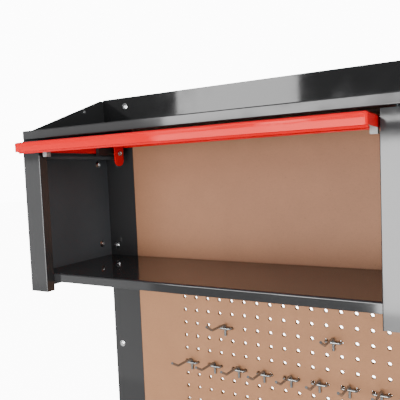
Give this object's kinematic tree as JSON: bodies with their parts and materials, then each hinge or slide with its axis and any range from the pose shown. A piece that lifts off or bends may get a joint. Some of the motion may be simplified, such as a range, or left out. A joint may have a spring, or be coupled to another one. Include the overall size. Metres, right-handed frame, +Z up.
{
  "type": "workbench",
  "caption": "Sheet-metal workbench with drawers, a lower shelf, a pegboard with hooks, and an overhead cabinet with up-and-over doors and a railed top tray.",
  "frame": {"origin": "on the floor, under the centre of the bench", "axes": "+X to the right, +Y to the back, where the pegboard is, +Z up"},
  "size_m": [1.2336, 0.61, 1.774],
  "materials": {
    "black_paint": "semi-gloss powder coat",
    "red_paint": "gloss powder coat",
    "hardboard": "smooth, bare",
    "worktop_board": "satin lacquer",
    "zinc_plate": "bright zinc",
    "chrome_wire": "polished",
    "brass": "turned",
    "black_plastic": "matt",
    "white_nylon": "satin"
  },
  "bodies": {
    "bench": {"cabinet_back": "hardboard", "cabinet_shelf": "black_paint", "door_rails": "black_paint", "drawer_housing": "black_paint", "foot_nuts": "zinc_plate", "foot_plates": "black_paint", "frame_screws": "zinc_plate", "front_beam": "black_paint", "gallery_back": "black_paint", "housing_runners": "zinc_plate", "left_front_leg": "black_paint", "left_front_post": "black_paint", "left_gallery_side": "black_paint", "left_low_rail": "black_paint", "left_side_panel": "black_paint", "left_side_rail": "black_paint", "left_upright": "black_paint", "levelling_feet": "zinc_plate", "lower_back_panel": "black_paint", "lower_hooks": "chrome_wire", "lower_shelf": "black_paint", "middle_front_post": "black_paint", "middle_partition": "black_paint", "pegboard": "hardboard", "right_front_leg": "black_paint", "right_front_post": "black_paint", "right_gallery_side": "black_paint", "right_low_rail": "black_paint", "right_side_panel": "black_paint", "right_side_rail": "black_paint", "right_upright": "black_paint", "screw_nuts": "zinc_plate", "shelf_back_rail": "black_paint", "top_back_rail": "black_paint", "top_tray": "black_paint", "upper_hooks": "chrome_wire", "worktop": "worktop_board", "worktop_back_rail": "black_paint"},
    "left_carriage": {"left_door_shoes": "black_plastic", "left_door_pivot_bolts": "zinc_plate", "left_door_pivot_nuts": "brass"},
    "left_door": {"left_door": "red_paint", "left_door_ears": "red_paint", "left_door_corner_blocks": "black_plastic", "left_door_pads": "white_nylon"},
    "left_drawer": {"left_drawer_box": "black_paint", "left_drawer_front": "red_paint", "left_drawer_runners": "zinc_plate"},
    "right_carriage": {"right_door_shoes": "black_plastic", "right_door_pivot_bolts": "zinc_plate", "right_door_pivot_nuts": "brass"},
    "right_door": {"right_door": "red_paint", "right_door_ears": "red_paint", "right_door_corner_blocks": "black_plastic", "right_door_pads": "white_nylon"},
    "right_drawer": {"right_drawer_box": "black_paint", "right_drawer_front": "red_paint", "right_drawer_runners": "zinc_plate"}
  },
  "joints": [
    {"name": "left_carriage_slide", "type": "slide", "parent": "bench", "child": "left_carriage", "axis": [0, -1, 0], "range_m": [0, 0.1674]},
    {"name": "left_door_swing", "type": "hinge", "parent": "left_carriage", "child": "left_door", "pos_m": [-0.29575, 0.235, 1.6623], "axis": [1, 0, 0], "range_deg": [0, 90]},
    {"name": "right_carriage_slide", "type": "slide", "parent": "bench", "child": "right_carriage", "axis": [0, 1, 0], "range_m": [0, 0.1674]},
    {"name": "right_door_swing", "type": "hinge", "parent": "right_carriage", "child": "right_door", "pos_m": [0.29575, 0.0678, 1.6623], "axis": [-1, 0, 0], "range_deg": [0, 90]},
    {"name": "left_drawer_slide", "type": "slide", "parent": "bench", "child": "left_drawer", "axis": [0, -1, 0], "range_m": [0, 0.4]},
    {"name": "right_drawer_slide", "type": "slide", "parent": "bench", "child": "right_drawer", "axis": [0, -1, 0], "range_m": [0, 0.4]}
  ],
  "couplings": [
    {"joint": "left_carriage_slide", "follows": "left_door_swing", "m_per_rad": 0.10643},
    {"joint": "right_carriage_slide", "follows": "right_door_swing", "m_per_rad": 0.10643}
  ]
}
